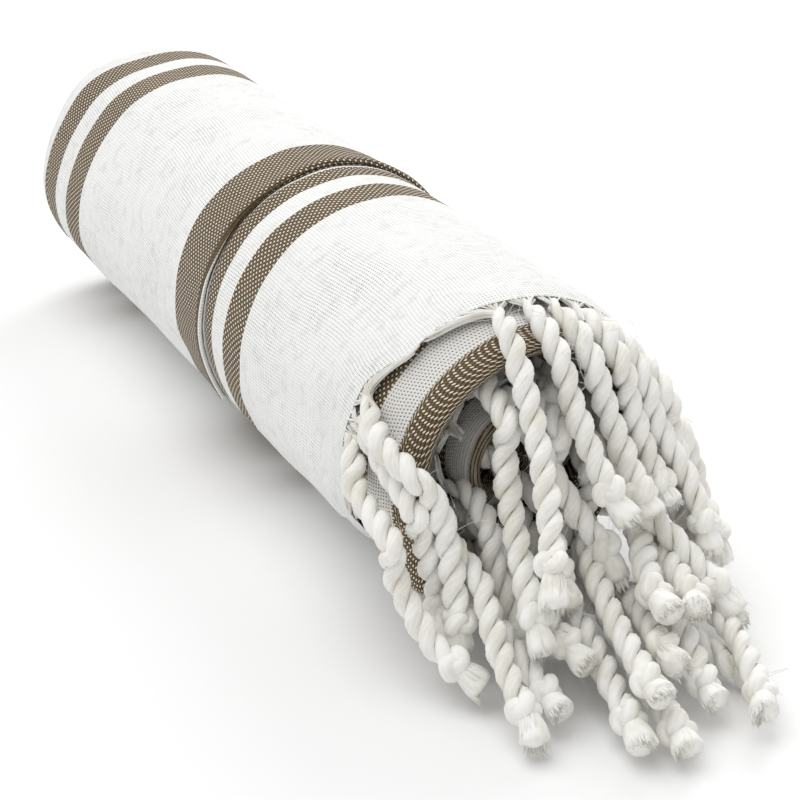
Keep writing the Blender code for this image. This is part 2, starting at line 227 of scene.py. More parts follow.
# The cords that show, by the turn at which they leave the edge and three places that they
# pass: over the end of the roll, on the way down, and the tip.
SHOWN_COLUMNS = (
    ("turn",)
    + ("over_x", "over_y", "over_z")
    + ("mid_x", "mid_y", "mid_z")
    + ("tip_x", "tip_y", "tip_z")
)
SHOWN_ROWS = (
    (0.455, 0.108, -0.046, 0.043, 0.124, -0.046, 0.024, 0.153, -0.034, 0.007),
    (0.492, 0.120, -0.042, 0.055, 0.130, -0.028, 0.034, 0.142, -0.036, 0.010),
    (0.470, 0.123, -0.036, 0.040, 0.127, -0.034, 0.026, 0.130, -0.031, 0.010),
    (0.642, 0.122, -0.009, 0.082, 0.140, -0.009, 0.057, 0.163, -0.020, 0.034),
    (0.675, 0.122, 0.002, 0.082, 0.134, 0.004, 0.060, 0.151, 0.008, 0.042),
    (0.703, 0.122, 0.011, 0.080, 0.131, 0.016, 0.056, 0.145, 0.021, 0.036),
    (0.730, 0.122, 0.020, 0.077, 0.128, 0.024, 0.056, 0.143, 0.029, 0.034),
    (0.762, 0.121, 0.028, 0.071, 0.129, 0.032, 0.050, 0.150, 0.037, 0.024),
    (0.800, 0.121, 0.035, 0.063, 0.128, 0.039, 0.042, 0.143, 0.043, 0.022),
    (0.855, 0.120, 0.041, 0.048, 0.129, 0.045, 0.028, 0.142, 0.047, 0.013),
    (0.900, 0.120, 0.041, 0.036, 0.134, 0.043, 0.016, 0.158, 0.040, 0.007),
    (1.640, 0.121, -0.016, 0.064, 0.131, -0.014, 0.038, 0.159, -0.021, 0.015),
    (1.700, 0.124, -0.002, 0.046, 0.132, -0.003, 0.031, 0.152, -0.010, 0.018),
    (1.760, 0.125, 0.012, 0.030, 0.154, 0.004, 0.018, 0.189, -0.004, 0.013),
    (1.820, 0.124, 0.025, 0.033, 0.141, 0.018, 0.027, 0.169, 0.010, 0.024),
    (1.880, 0.125, 0.033, 0.028, 0.142, 0.026, 0.025, 0.171, 0.017, 0.024),
    (2.500, 0.124, 0.020, 0.016, 0.140, 0.017, 0.013, 0.178, 0.004, 0.016),
    (1.040, 0.126, 0.038, 0.020, 0.149, 0.038, 0.010, 0.196, 0.022, 0.007),
)
# The cords beneath them, by the turn at which they leave the edge and the place of their tip.
UNDER_COLUMNS = ("turn", "tip_x", "tip_y", "tip_z")
UNDER_ROWS = (
    (1.140, 0.178, 0.030, 0.006),
    (1.180, 0.156, 0.024, 0.006),
    (1.230, 0.162, -0.002, 0.006),
    (1.290, 0.172, -0.022, 0.006),
    (1.350, 0.177, -0.031, 0.006),
    (1.940, 0.187, 0.013, 0.006),
    (2.060, 0.198, -0.002, 0.006),
    (2.180, 0.190, -0.010, 0.006),
    (2.300, 0.166, -0.009, 0.012),
    (2.360, 0.152, -0.020, 0.008),
    (2.620, 0.146, 0.010, 0.018),
    (2.740, 0.164, 0.034, 0.012),
)
NECK_DROP = 0.0010  # a cord beneath passes this far from the package's mid face
ROUTE_POINTS = 11
FIXED_POINTS = 3
ROUNDS = 90
EVENS_OUT = 0.10
PULLED_BACK = 0.03
ROUTE_STEP = 0.0007
TWIST_PITCH = 0.0130  # one strand's full turn round its cord
STRAND_OUT = 0.52  # a strand's centre from the cord's axis, in cord radii
STRAND_RADIUS = 0.56
STRAND_ACROSS = 1.12

# The knots and tufts: counts, and shares of the cord's radius where a line says nothing else.
KNOT_POINTS = 46
KNOT_DEPTH = 1.35  # of KNOT_REACH
KNOT_REACH = 0.27
KNOT_YARN = 0.56
KNOT_PAST = 0.001  # metres from the cord's end to the middle of its knot
TUFT_LENGTH = 0.0095  # metres
TUFT_LOCKS = 80
TUFT_HAIRS = 60
TUFT_TURN = 2.4  # radians from one lock to the next
TUFT_LEAN = 0.16  # of its length, the most along each axis
TUFT_SLANT = 0.22  # of its length, the most that the cut is up or down at its rim
TUFT_OFF_FLOOR = 0.0010  # metres
FIBRE_RADIUS = 0.00006  # metres

# Stray fibres stand off a cord: how far out they then are, in its radii, and how far they
# drift, in metres.
STRAYS_PER_CORD = 7
STRAY_ROOT = 0.8
STRAY_COLUMNS = ("out", "drift")
STRAY_ROWS = (
    (1.3, 0.0012),
    (1.5, 0.0030),
    (1.1, 0.0045),
)
STRAY_OFF_FLOOR = 0.0005

# The loose threads of the fringed edge, by the share of the way from their own place to their
# cord: how far past the edge they then are, and how far out.
THREAD_SPACING = 0.00042
THREAD_LEAST = 6
THREAD_RADII = (0.00022, 0.00040)
THREAD_ASIDE = (-0.0008, 0.0004)
THREAD_COLUMNS = ("share", "past_edge", "out")
THREAD_ROWS = (
    (0.00, -0.0016, -0.0003),
    (0.08, 0.0003, 0.0001),
    (0.50, 0.0014, -0.0001),
    (0.88, 0.0026, -0.0004),
)
THREAD_ENDS_PAST = 0.0080
THREAD_ENDS_BELOW = 0.0018

# The floor and the camera. The camera's place is from the roll's own origin.
FLOOR_HALF = 3.0
FLOOR_DROP = 0.0004
CAMERA_FROM_ROLL = (0.48036, -0.22702, 0.27617)
CAMERA_LOOKS = (-0.79406, 0.41245, -0.44649)
CAMERA_LENS = 82.95


def smooth(value):
    value = np.clip(value, 0.0, 1.0)
    return value * value * (3.0 - 2.0 * value)


def eased(name, turn):
    """The column of END_ROWS at `turn`, eased between the rows."""
    rows = np.array(END_ROWS)
    turns = rows[:, 0]
    values = rows[:, END_COLUMNS.index(name)]
    turn = np.clip(turn, turns[0], turns[-1])
    low = np.clip(np.searchsorted(turns, turn, side="right") - 1, 0, len(turns) - 2)
    share = smooth((turn - turns[low]) / (turns[low + 1] - turns[low]))
    return values[low] + (values[low + 1] - values[low]) * share


def crease(x, angle):
    """How far the soft creases push a point towards the axis."""
    push = np.zeros(np.broadcast(x, angle).shape)
    for row_x, degrees, depth, half_length, half_degrees in CREASE_ROWS:
        along = (x - row_x) / half_length
        turned = (angle - math.radians(degrees) + math.pi) % (2 * math.pi) - math.pi
        across = turned / math.radians(half_degrees)
        push += depth * np.exp(-along * along - across * across)
    return push


def unevenness(x, angle):
    """Small soft waves, so that the cloth isn't taut."""
    waves = np.sin(61 * x + 2.3 * angle) * np.sin(23 * x - 5.1 * angle + 1.0)
    waves = waves + 0.6 * np.sin(140 * x + 7 * angle) * np.sin(9 * angle - 55 * x)
    return WAVE_DEPTH * waves


def off_floor(angle):
    """1 on the free sides and top of the roll, 0 where it is pressed on the floor."""
    return smooth((np.sin(angle) + 0.92) / 0.35)


def radius_at(turn):
    """The roll's radius to the package's outer face: level, with a step at each turn's end."""
    whole = np.floor(turn)
    step = smooth((turn - whole - (1 - STEP_TURNS)) / STEP_TURNS)
    return ROLL_RADIUS - TURN_PITCH * (whole + step)


def pressed(y, z):
    """The height over the floor once the roll's weight has pressed its underside flat."""
    axis_z = math.sqrt(ROLL_RADIUS**2 - (FLAT_WIDTH / 2) ** 2)
    across = np.minimum(np.abs(y), ROLL_RADIUS)
    round_under = axis_z - np.sqrt(ROLL_RADIUS**2 - across**2)
    lift = np.maximum(0.0, -round_under)
    above = np.maximum(0.0, z + axis_z - round_under) / ROLL_RADIUS
    return np.maximum(z + axis_z + lift * np.maximum(0.0, 1 - above), 0.0)


def wound(turn, x, out):
    """The place of a point of the package: `turn` turns in, `x` along the roll, and `out`
    beyond the package's mid face."""
    turn, x, out = np.broadcast_arrays(
        np.asarray(turn, float), np.asarray(x, float), np.asarray(out, float)
    )
    angle = LOOSE_EDGE_ANGLE - 2 * math.pi * turn
    half = PACK_THICK / 2
    loose = LOOSE_EDGE_SHARE + (1 - LOOSE_EDGE_SHARE) * smooth(turn / LOOSE_EDGE_TURNS)
    core = CORE_SHARE + (1 - CORE_SHARE) * smooth((TURNS - turn) / CORE_TURNS)
    out = (out + half) * loose - half
    out = half - (half - out) * core
    lean = FLARE_LEAN * smooth((x - FLARE_FROM) / (eased("fold_x", turn) - FLARE_FROM))
    out = out - np.where(turn < FLARE_TURNS, lean, 0.0)
    radius = radius_at(turn) - half + out
    push = (crease(x, angle) + unevenness(x, angle)) * off_floor(angle)
    radius = radius - push * radius / ROLL_RADIUS
    y = radius * np.cos(angle)
    z = radius * np.sin(angle)
    return np.stack([x + SHIFT_X, y + TOWEL_Y, pressed(y, z)], axis=-1)


SHIFT_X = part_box("towel_roll")[0][0] - min(row[3] for row in END_ROWS)


# ---------------------------------------------------------------- the cloth


def pleat_share(turn):
    begun = smooth((turn - PLEAT_FIRST_TURN) / PLEAT_FADES_IN)
    return begun * smooth((PLEAT_LAST_TURN - turn) / PLEAT_FADES_OUT)


def outer_pass(length, turn):
    """(x, out) of the outermost layer at this length of the cloth from its fringed end."""
    edge = END_AT - eased("fringe_x", turn)
    evened = edge + length * (1 - edge / EDGE_EVEN_BY)
    length = np.where(length < EDGE_EVEN_BY, evened, length)
    lip = PLEAT_X - PLEAT_SKEW * np.sin(2 * math.pi * (turn - PLEAT_TOP_TURN))
    share = pleat_share(turn)
    past = length - (END_AT - lip)
    rows = np.array(PLEAT_ROWS)
    along = np.interp(past, rows[:, 0], rows[:, 1])
    rise = np.interp(past, rows[:, 0], rows[:, 2])
    before = past < rows[0, 0]
    after = past > rows[-1, 0]
    pleated = np.where(before, -past, np.where(after, PLEAT_TAKES - past, along))
    x = lip + pleated * share - past * (1 - share)
    far_run = END_AT + PLEAT_TAKES - FAR_RUN_X
    past_lip = far_run - (END_AT - lip)
    far_from = lip + (PLEAT_TAKES - past_lip) * share
    far_from = far_from - past_lip * (1 - share)
    far_to = eased("far_x", turn) + FAR_ROUND
    blend = (length - far_run) / (OUTER_LAST - far_run)
    x = np.where(length > far_run, far_from + (far_to - far_from) * blend, x)
    return x, rise * share


def far_skew(turn):
    """How far the stripes are askew at the far end."""
    return FAR_SKEW * np.sin(2 * math.pi * (turn - FAR_SKEW_TURN))


def spaced(first, last, step):
    return list(np.linspace(first, last, max(2, round(abs(last - first) / step) + 1))[:-1])


def cloth_columns():
    """The lengthwise grid: (stretch of the fold, place in it), from one fringed end to the
    other."""
    columns = []
    for stretch, first, last, step in GRID_ROWS:
        columns += [(stretch, at) for at in spaced(first, last, step)]
    columns.append(("inner", 1.0))
    return columns


def cloth_rows():
    """The crosswise grid: (share of the way from the loose edge to the core, 0 for the half
    with the outermost layer and 1 for the other half of the width)."""
    rows = [(at, 0.0) for at in np.linspace(0.0, OUTER_SHARE, OUTER_ROW_COUNT)]
    rows += [(at, 0.0) for at in np.linspace(OUTER_SHARE, 1.0, CORE_ROW_COUNT)[1:]]
    rows += [(1.0, at) for at in (0.25, 0.5, 0.75)]
    rows += [(at, 1.0) for at in np.linspace(1.0, 0.0, BACK_ROW_COUNT)]
    return rows


def starts_at(stretch, at, half):
    """The turn at which each layer's selvedge lies. The outermost one's wavers."""
    if stretch == "outer" and half < 0.5:
        return LOOSE_PLY_TURN + 0.010 * math.sin(31 * at) + 0.006 * math.sin(77 * at)
    if stretch == "far_first" and half < 0.5:
        return LOOSE_PLY_TURN + (LOOSE_PLY_FAR_TURN - LOOSE_PLY_TURN) * float(smooth(at))
    return SELVEDGE_TURNS.get(stretch, 0.0)


def edge_depth(turn):
    """How far the four fringed layers, drawn together at their edge, lie below the face."""
    corner = smooth((CORNER_TURN - np.asarray(turn, float)) / CORNER_FADES)
    return LAYER * (EDGE_DEPTH + CORNER_DEPTH * corner)


def drawn_together(x, out, turn, ply):
    """The layer's height once the fringed edge draws it to the others."""
    near = eased("fringe_x", turn)
    share = EDGE_DRAWN * smooth((x - (near - EDGE_LENGTH)) / EDGE_LENGTH)
    at_edge = PACK_THICK / 2 - edge_depth(turn) - EDGE_PLY * (ply - 1.5)
    return out + (at_edge - out) * share


def arc_share(along, out, way):
    """How much of a half-round fold, `along` by `out` in size, lies before the angle `way`."""
    angles = np.linspace(0, math.pi, 61)
    speed = np.hypot(along * np.cos(angles), out * np.sin(angles))
    reached = np.concatenate([[0], np.cumsum((speed[1:] + speed[:-1]) / 2)])
    return float(np.interp(way, angles, reached / reached[-1]))


def layer_place(stretch, at, half, turn):
    """(x, out, length from the nearer end) for an array of turns and halves."""
    top = PACK_THICK / 2
    first = half
    last = 3.0 - half
    far = eased("far_x", turn) + FAR_ROUND
    fold = eased("fold_x", turn) - FOLD_ROUND

    def second(x):
        return SECOND_PASS_AT + (x - SECOND_PASS_X)

    def third(x):
        return second(fold) + FOLD_TAKES + (fold - x)

    if stretch == "outer":
        x, rise = outer_pass(at, turn)
        askew = far_skew(turn) * smooth((at - FAR_SKEW_FROM) / FAR_SKEW_OVER)
        out = top - LAYER * (first + 0.5) + rise * (1 - 0.5 * half)
        return x, drawn_together(x, out, turn, first), at + askew
    if stretch == "inner":
        end = eased("fringe_x", turn) - 0.001
        x = far + (end - far) * at
        return x, drawn_together(x, top - LAYER * (last + 0.5), turn, last), END_AT - x
    if stretch in ("second_first", "second_last"):
        ply = first if stretch == "second_first" else last
        way = at if stretch == "second_first" else 1 - at
        x = far + (fold - far) * way
        return x, top - LAYER * (7 - ply + 0.5), second(x)
    half_at = eased("far_x", turn) + HALF_BACK
    if stretch in ("third_first", "third_last"):
        ply = first if stretch == "third_first" else last
        way = at if stretch == "third_first" else 1 - at
        x = fold + (half_at - fold) * way
        return x, top - LAYER * (8 + ply + 0.5), third(x)
    bend = math.pi * at
    if stretch == "half":
        size = 1.5 - half
        x = half_at - 0.7 * LAYER * size * 3 * math.sin(bend)
        length = third(half_at) + HALF_TAKES * math.sin(bend)
        return x, top - LAYER * (10 - size * math.cos(bend)), length
    if stretch in ("far_first", "far_last"):
        ply = first if stretch == "far_first" else last
        way = bend if stretch == "far_first" else math.pi - bend
        size = OUTER_BEND - ply
        x = far - FAR_ROUND * size / OUTER_BEND * math.sin(way)
        share = arc_share(FAR_ROUND / OUTER_BEND, LAYER, way)
        askew = far_skew(turn) * (1 - share)
        length = OUTER_LAST + (second(far) - OUTER_LAST) * share + askew
        return x, top - LAYER * (4 - size * math.cos(way)), length
    ply = first if stretch == "near_first" else last
    way = bend if stretch == "near_first" else math.pi - bend
    size = ply + 0.5
    x = fold + FOLD_ROUND * size / OUTER_BEND * math.sin(way)
    share = arc_share(FOLD_ROUND / OUTER_BEND, LAYER, way)
    length = second(fold) + (third(fold) - second(fold)) * share
    return x, top - LAYER * (8 - size * math.cos(way)), length


def mesh_object(name, points, faces, layers=(), smooth_faces=True):
    """A mesh object from arrays, with named two-number layers on its corners."""
    mesh = bpy.data.meshes.new(name)
    mesh.vertices.add(len(points))
    mesh.vertices.foreach_set("co", np.asarray(points, np.float32).ravel())
    faces = np.asarray(faces, np.int32)
    sides = faces.shape[1]
    mesh.loops.add(faces.size)
    mesh.loops.foreach_set("vertex_index", faces.ravel())
    mesh.polygons.add(len(faces))
    mesh.polygons.foreach_set("loop_start", np.arange(0, faces.size, sides, dtype=np.int32))
    mesh.polygons.foreach_set("use_smooth", np.full(len(faces), smooth_faces))
    mesh.update(calc_edges=True)
    for layer_name, values in layers:
        layer = mesh.uv_layers.new(name=layer_name)
        corner = np.asarray(values, np.float32)[faces.ravel()]
        layer.data.foreach_set("uv", corner.ravel())
    made = bpy.data.objects.new(name, mesh)
    bpy.context.scene.collection.objects.link(made)
    return made


def grid_faces(rows, columns):
    index = np.arange(rows * columns).reshape(rows, columns)
    return np.stack(
        [index[:-1, :-1], index[1:, :-1], index[1:, 1:], index[:-1, 1:]], axis=-1
    ).reshape(-1, 4)


def make_cloth():
    columns = cloth_columns()
    rows = cloth_rows()
    shares = np.array([row[0] for row in rows])
    halves = np.array([row[1] for row in rows])
    places = np.zeros((len(rows), len(columns), 3))
    lengths = np.zeros((len(rows), len(columns)))
    for index, (stretch, at) in enumerate(columns):
        outer_start = starts_at(stretch, at, 0.0)
        start = outer_start + (starts_at(stretch, at, 1.0) - outer_start) * halves
        turn = start + (TURNS - start) * shares
        x, out, length = layer_place(stretch, at, halves, turn)
        places[:, index] = wound(turn, x, out)
        lengths[:, index] = length
    steps = np.linalg.norm(np.diff(places[..., 1:], axis=0), axis=2)
    widths = np.concatenate([np.zeros((1, len(columns))), np.cumsum(steps, axis=0)])
    threads = np.stack([widths, lengths], axis=-1).reshape(-1, 2)
    return mesh_object(
        "towel_cloth",
        places.reshape(-1, 3),
        grid_faces(len(rows), len(columns)),
        [("threads", threads)],
    )


# ---------------------------------------------------------------- the fringe


def cord_guides():
    """The root of each cord and the three places that it passes, for every cord."""
    guides = []
    mid_out = PACK_THICK / 2 - GAP / 2 - HEADING_THICK / 2
    shift = np.array((SHIFT_X, TOWEL_Y, 0.0))
    for row in SHOWN_ROWS + UNDER_ROWS:
        turn = row[0]
        root = wound(turn, eased("fringe_x", turn) + GAP + HEADING_LENGTH * 0.6, mid_out)
        if len(row) == len(SHOWN_COLUMNS):
            over, mid, tip = (np.array(row[place : place + 3]) + shift for place in (1, 4, 7))
        else:
            out_x = max(eased("fold_x", turn), eased("fold_x", turn - 1)) + CORD_RADIUS + GAP
            over = wound(turn, out_x, NECK_DROP)
            over[2] = max(over[2], CORD_RADIUS + GAP)
            tip = np.array(row[1:4]) + shift
            mid = np.array(
                (
                    0.45 * over[0] + 0.55 * tip[0],
                    (over[1] + 2 * tip[1]) / 3,
                    0.3 * over[2] + 0.7 * tip[2],
                )
            )
        guides.append((turn, np.array((root, over, mid, tip))))
    return guides


def radii_along():
    body = [CORD_RADIUS] * (ROUTE_POINTS - 5)
    ends = [CORD_RADIUS * KNOT_SWELL, CORD_RADIUS * TUFT_SWELL, CORD_RADIUS * 1.1]
    return [ROOT_RADIUS, 0.8 * CORD_RADIUS] + body + ends


def moved_apart(routes, radii):
    """Cords that would run through each other move apart, and stay even and off the floor."""
    start = np.array(routes)
    places = start.copy()
    count = places.shape[0] * places.shape[1]
    owner = np.repeat(np.arange(len(routes)), ROUTE_POINTS)
    strangers = owner[:, None] != owner[None, :]
    thick = np.tile(np.array(radii), len(routes))
    reach = thick[:, None] + thick[None, :] + GAP
    face_x = max(row[END_COLUMNS.index("fold_x")] for row in END_ROWS) + GAP + SHIFT_X
    face_x = face_x + np.array(radii)[FIXED_POINTS:]
    for _ in range(ROUNDS):
        flat = places.reshape(count, 3)
        apart = flat[:, None] - flat[None, :]
        distance = np.linalg.norm(apart, axis=2) + 1e-9
        shared = np.where(strangers & (distance < reach), reach - distance, 0.0)
        push = (apart * (0.5 * shared / distance)[:, :, None]).sum(axis=1)
        push /= np.maximum((shared > 0).sum(axis=1), 1)[:, None]
        moved = (flat + push).reshape(places.shape)
        moved[:, 1:-1] += EVENS_OUT * (moved[:, :-2] + moved[:, 2:] - 2 * moved[:, 1:-1])
        moved += PULLED_BACK * (start - moved)
        moved[..., 2] = np.maximum(moved[..., 2], thick.reshape(len(routes), -1) + GAP)
        moved[:, FIXED_POINTS:, 0] = np.maximum(moved[:, FIXED_POINTS:, 0], face_x)
        places[:, FIXED_POINTS:] = moved[:, FIXED_POINTS:]
    return places


def even_route(points, count):
    """The smooth curve through the points as that many evenly spaced places."""
    curve, at = finer(points, 0.0005)
    spots = np.linspace(0, at[-1], count)
    return np.stack([np.interp(spots, at, curve[:, k]) for k in range(3)], axis=1)


def finer(points, step):
    """A smooth curve through the points in even steps, and its length at each of them."""
    points = np.asarray(points, float)
    padded = np.vstack([2 * points[0] - points[1], points, 2 * points[-1] - points[-2]])
    curve = []
    share = np.linspace(0, 1, 12, endpoint=False)[:, None]
    for a, b, c, d in zip(padded, padded[1:], padded[2:], padded[3:]):
        bend = (2 * a - 5 * b + 4 * c - d) * share**2 + (3 * b - a - 3 * c + d) * share**3
        curve.append(0.5 * (2 * b + (c - a) * share + bend))
    curve = np.vstack(curve + [points[-1:]])
    along = np.concatenate([[0], np.cumsum(np.linalg.norm(np.diff(curve, axis=0), axis=1))])
    at = np.linspace(0, along[-1], max(3, round(along[-1] / step) + 1))
    return np.stack([np.interp(at, along, curve[:, k]) for k in range(3)], axis=1), at


def unit(vectors):
    return vectors / np.maximum(np.linalg.norm(vectors, axis=-1, keepdims=True), 1e-12)


def carried_frames(line):
    """The tangent and two side directions along a line, carried without turning."""
    tangent = unit(np.gradient(line, axis=0))
    side = np.zeros_like(line)
    first = np.cross(tangent[0], (0.0, 0.0, 1.0))
    if np.linalg.norm(first) < 0.1:
        first = np.cross(tangent[0], (0.0, 1.0, 0.0))
    side[0] = unit(first)
    for index in range(1, len(line)):
        kept = side[index - 1] - tangent[index] * np.dot(side[index - 1], tangent[index])
        side[index] = unit(kept)
    return tangent, side, np.cross(tangent, side)


class Bundle:
    """Tubes gathered into one mesh, each with its own length and way round."""

    def __init__(self):
        self.points, self.faces, self.yarn, self.count = [], [], [], 0

    def tube(self, line, radius, sides, side=None, closed=False, across=1.0):
        """A tube round the line, tapering where the radius does, and `across` times as wide at
        right angles to its side direction."""
        steps = len(line)
        radius = np.broadcast_to(np.asarray(radius, float), (steps,))
        tangent, carried, other = carried_frames(line)
        if side is not None:
            carried = unit(side - tangent * (side * tangent).sum(1)[:, None])
            other = np.cross(tangent, carried)
        round_at = np.linspace(0, 2 * math.pi, sides, endpoint=False)
        ring = (
            np.cos(round_at)[None, :, None] * carried[:, None]
            + across * np.sin(round_at)[None, :, None] * other[:, None]
        )
        points = line[:, None] + ring * radius[:, None, None]
        along = np.concatenate([[0], np.cumsum(np.linalg.norm(np.diff(line, axis=0), axis=1))])
        index = self.count + np.arange(steps * sides).reshape(steps, sides)
        if closed:
            index = np.vstack([index, index[:1]])
        beside = np.roll(index, -1, axis=1)
        faces = np.stack([index[:-1], beside[:-1], beside[1:], index[1:]], axis=-1)
        self.points.append(points.reshape(-1, 3))
        self.faces.append(faces.reshape(-1, 4))
        yarn = np.zeros((steps, sides, 2))
        yarn[..., 0] = np.abs(np.linspace(-1, 1, sides, endpoint=False))[None]
        yarn[..., 1] = along[:, None]
        self.yarn.append(yarn.reshape(-1, 2))
        self.count += steps * sides

    def made(self, name):
        return mesh_object(
            name, np.vstack(self.points), np.vstack(self.faces), [("yarn", np.vstack(self.yarn))]
        )


def twisted_cord(bundle, line, at, thick, phase, sides):
    """Two strands wound round each other along the line."""
    _, side, other = carried_frames(line)
    grown = 0.55 + 0.45 * smooth(at / 0.010)
    for strand in (0, 1):
        angle = 2 * math.pi * at / TWIST_PITCH + strand * math.pi + phase
        radial = np.cos(angle)[:, None] * side + np.sin(angle)[:, None] * other
        lumps = 1 + 0.07 * np.sin(at * 310 + phase * 3 + strand) * np.sin(at * 90 + phase)
        reach = thick * grown * lumps
        centre = line + radial * (STRAND_OUT * reach)[:, None]
        bundle.tube(centre, STRAND_RADIUS * reach, sides, side=radial, across=STRAND_ACROSS)


def knot(bundle, place, along, size, turned):
    """An overhand knot: a trefoil of yarn pulled tight round the cord."""
    way = np.linspace(0, 2 * math.pi, KNOT_POINTS, endpoint=False)
    loop = np.stack(
        [
            np.sin(way) + 2 * np.sin(2 * way),
            np.cos(way) - 2 * np.cos(2 * way),
            -KNOT_DEPTH * np.sin(3 * way),
        ],
        axis=1,
    )
    axis = Vector(along).to_track_quat("Z", "Y").to_matrix()
    spin = np.array(
        (
            (math.cos(turned), -math.sin(turned), 0),
            (math.sin(turned), math.cos(turned), 0),
            (0, 0, 1),
        )
    )
    loop = loop @ spin.T @ np.array(axis).T * (KNOT_REACH * size)
    bundle.tube(place + loop, KNOT_YARN * size, 9, closed=True)


def tuft(bundle, fine, start, along, length, size, rng):
    """The cut end below a knot: a soft core inside short locks, with fine hairs past them, which
    widens to a blunt end."""
    side = unit(np.cross(along, (0.3, 0.2, 1.0)))
    other = np.cross(along, side)
    lean = rng.uniform(-1, 1, 3) * TUFT_LEAN * length
    cut = rng.uniform(-1, 1, 2) * TUFT_SLANT
    for index in range(TUFT_LOCKS + TUFT_HAIRS):
        hair = index >= TUFT_LOCKS
        turned = TUFT_TURN * index + rng.uniform(-0.3, 0.3)
        out = math.sqrt((index % TUFT_LOCKS + 0.5) / TUFT_LOCKS)
        away = math.cos(turned) * side + math.sin(turned) * other
        level = 1 + out * (cut[0] * math.cos(turned) + cut[1] * math.sin(turned))
        reach = length * level * rng.uniform(0.90, 0.98) * (1.16 if hair else 1.0)
        spread = size * out * (1.05 if hair else 0.94)
        curl = rng.uniform(-1, 1, 3) * size * (0.50 if hair else 0.10)
        points = np.array(
            [
                start + away * size * 0.35 * out,
                start + along * reach * 0.25 + away * spread * 0.72,
                start + along * reach * 0.65 + away * spread * 1.05 + lean * 0.4,
                start + along * reach + away * spread * 1.24 + lean + curl,
            ]
        )
        points[:, 2] = np.maximum(points[:, 2], TUFT_OFF_FLOOR)
        if index == 0:
            middle = start + along * reach * 0.5 + lean * 0.3
            core = [start, middle, start + along * reach * 1.02 + lean]
            line, _ = finer(core, reach / 9)
            share = np.linspace(0, 1, len(line))
            bundle.tube(line, size * (0.52 + 0.86 * share**0.8) * (1 - share**12) ** 0.5, 14)
            continue
        line, _ = finer(points, reach / 6)
        share = np.linspace(0, 1, len(line))
        if hair:
            fine.tube(line, FIBRE_RADIUS * (1.2 - share), 3)
        else:
            body = (0.17 + 0.06 * share) * (1 - 0.9 * share**6)
            bundle.tube(line, size * body, 4)


def make_fringe(rng):
    guides = cord_guides()
    radii = radii_along()
    starts = [even_route(points, ROUTE_POINTS) for _, points in guides]
    routes = moved_apart(starts, radii)
    outer, inner, ends, tufts, hairs = Bundle(), Bundle(), Bundle(), Bundle(), Bundle()
    for index, route in enumerate(routes):
        thick = CORD_RADIUS * rng.uniform(1.00, 1.12)
        shown = guides[index][0] < 1
        whole, reached = finer(route, ROUTE_STEP)
        stop = int(np.searchsorted(reached, reached[-1] - TUFT_LENGTH))
        line, at = whole[:stop], reached[:stop]
        bundle, sides = (outer, 10) if shown else (inner, 8)
        twisted_cord(bundle, line, at, thick, rng.uniform(0, 6.28), sides)
        end = line[-1]
        along = unit(line[-1] - line[-4])
        knot(ends, end + along * KNOT_PAST, along, thick * 1.12, rng.uniform(0, 6.28))
        down = unit(whole[-1] - end)
        reach = TUFT_LENGTH * rng.uniform(0.9, 1.15)
        tuft(tufts, hairs, end + along * KNOT_PAST, unit(down + 0.3 * along), reach, thick, rng)
        for _ in range(STRAYS_PER_CORD):
            where = line[rng.integers(4, len(line) - 4)]
            out = unit(rng.normal(size=3)) * thick
            places = [where + out * STRAY_ROOT]
            for away, drift in STRAY_ROWS:
                places.append(where + out * away + rng.normal(size=3) * drift)
            stray = np.array(places)
            stray[:, 2] = np.maximum(stray[:, 2], STRAY_OFF_FLOOR)
            hairs.tube(finer(stray, 0.0012)[0], FIBRE_RADIUS, 3)
    return [
        outer.made("outer_cords"),
        inner.made("inner_cords"),
        ends.made("knots"),
        tufts.made("tufts"),
        hairs.made("stray_fibres"),
    ]


def make_edge_threads(rng):
    """The warp threads that leave the cloth and gather sideways into the cords."""
    edge = Bundle()
    top = PACK_THICK / 2
    roots = sorted(row[0] for row in SHOWN_ROWS + UNDER_ROWS)
    limits = [LOOSE_PLY_TURN] + [(a + b) / 2 for a, b in zip(roots, roots[1:])] + [TURNS - 0.05]
    for root, low, high in zip(roots, limits, limits[1:]):
        radius = float(radius_at(np.array(root)))
        count = max(THREAD_LEAST, int((high - low) * 2 * math.pi * radius / THREAD_SPACING))
        for index in range(count):
            turn = low + (high - low) * (index + rng.uniform(0.2, 0.8)) / count
            aside = rng.uniform(*THREAD_ASIDE)
            points = []
            for share, past, out in THREAD_ROWS:
                at = turn + (root - turn) * share
                near = float(eased("fringe_x", at))
                height = top - float(edge_depth(at)) + out + aside
                points.append(wound(at, near + past, height))
            near = float(eased("fringe_x", root))
            height = top - THREAD_ENDS_BELOW + 0.4 * aside
            points.append(wound(root, near + THREAD_ENDS_PAST, height))
            line, _ = finer(points, 0.0020)
            edge.tube(line, rng.uniform(*THREAD_RADII), 4)
    return edge.made("edge_threads")


# ---------------------------------------------------------------- materials


def colour(code):
    """Linear colour from a six-digit sRGB code."""
    channels = [int(code[place : place + 2], 16) / 255 for place in (0, 2, 4)]
    linear = [c / 12.92 if c <= 0.04045 else ((c + 0.055) / 1.055) ** 2.4 for c in channels]
    return (*linear, 1.0)


def add(tree, kind, inputs=(), **options):
    """Adds a shader node with its options and gives its outputs. Its inputs, in order or by name
    or number, are set to a value or linked to a socket."""
    made = tree.nodes.new("ShaderNode" + kind)
    for name, value in options.items():
        setattr(made, name, value)
    pairs = inputs.items() if isinstance(inputs, dict) else enumerate(inputs)
    for name, value in pairs:
        if isinstance(value, bpy.types.NodeSocket):
            tree.links.new(value, made.inputs[name])
        else:
            made.inputs[name].default_value = value
    return made.outputs


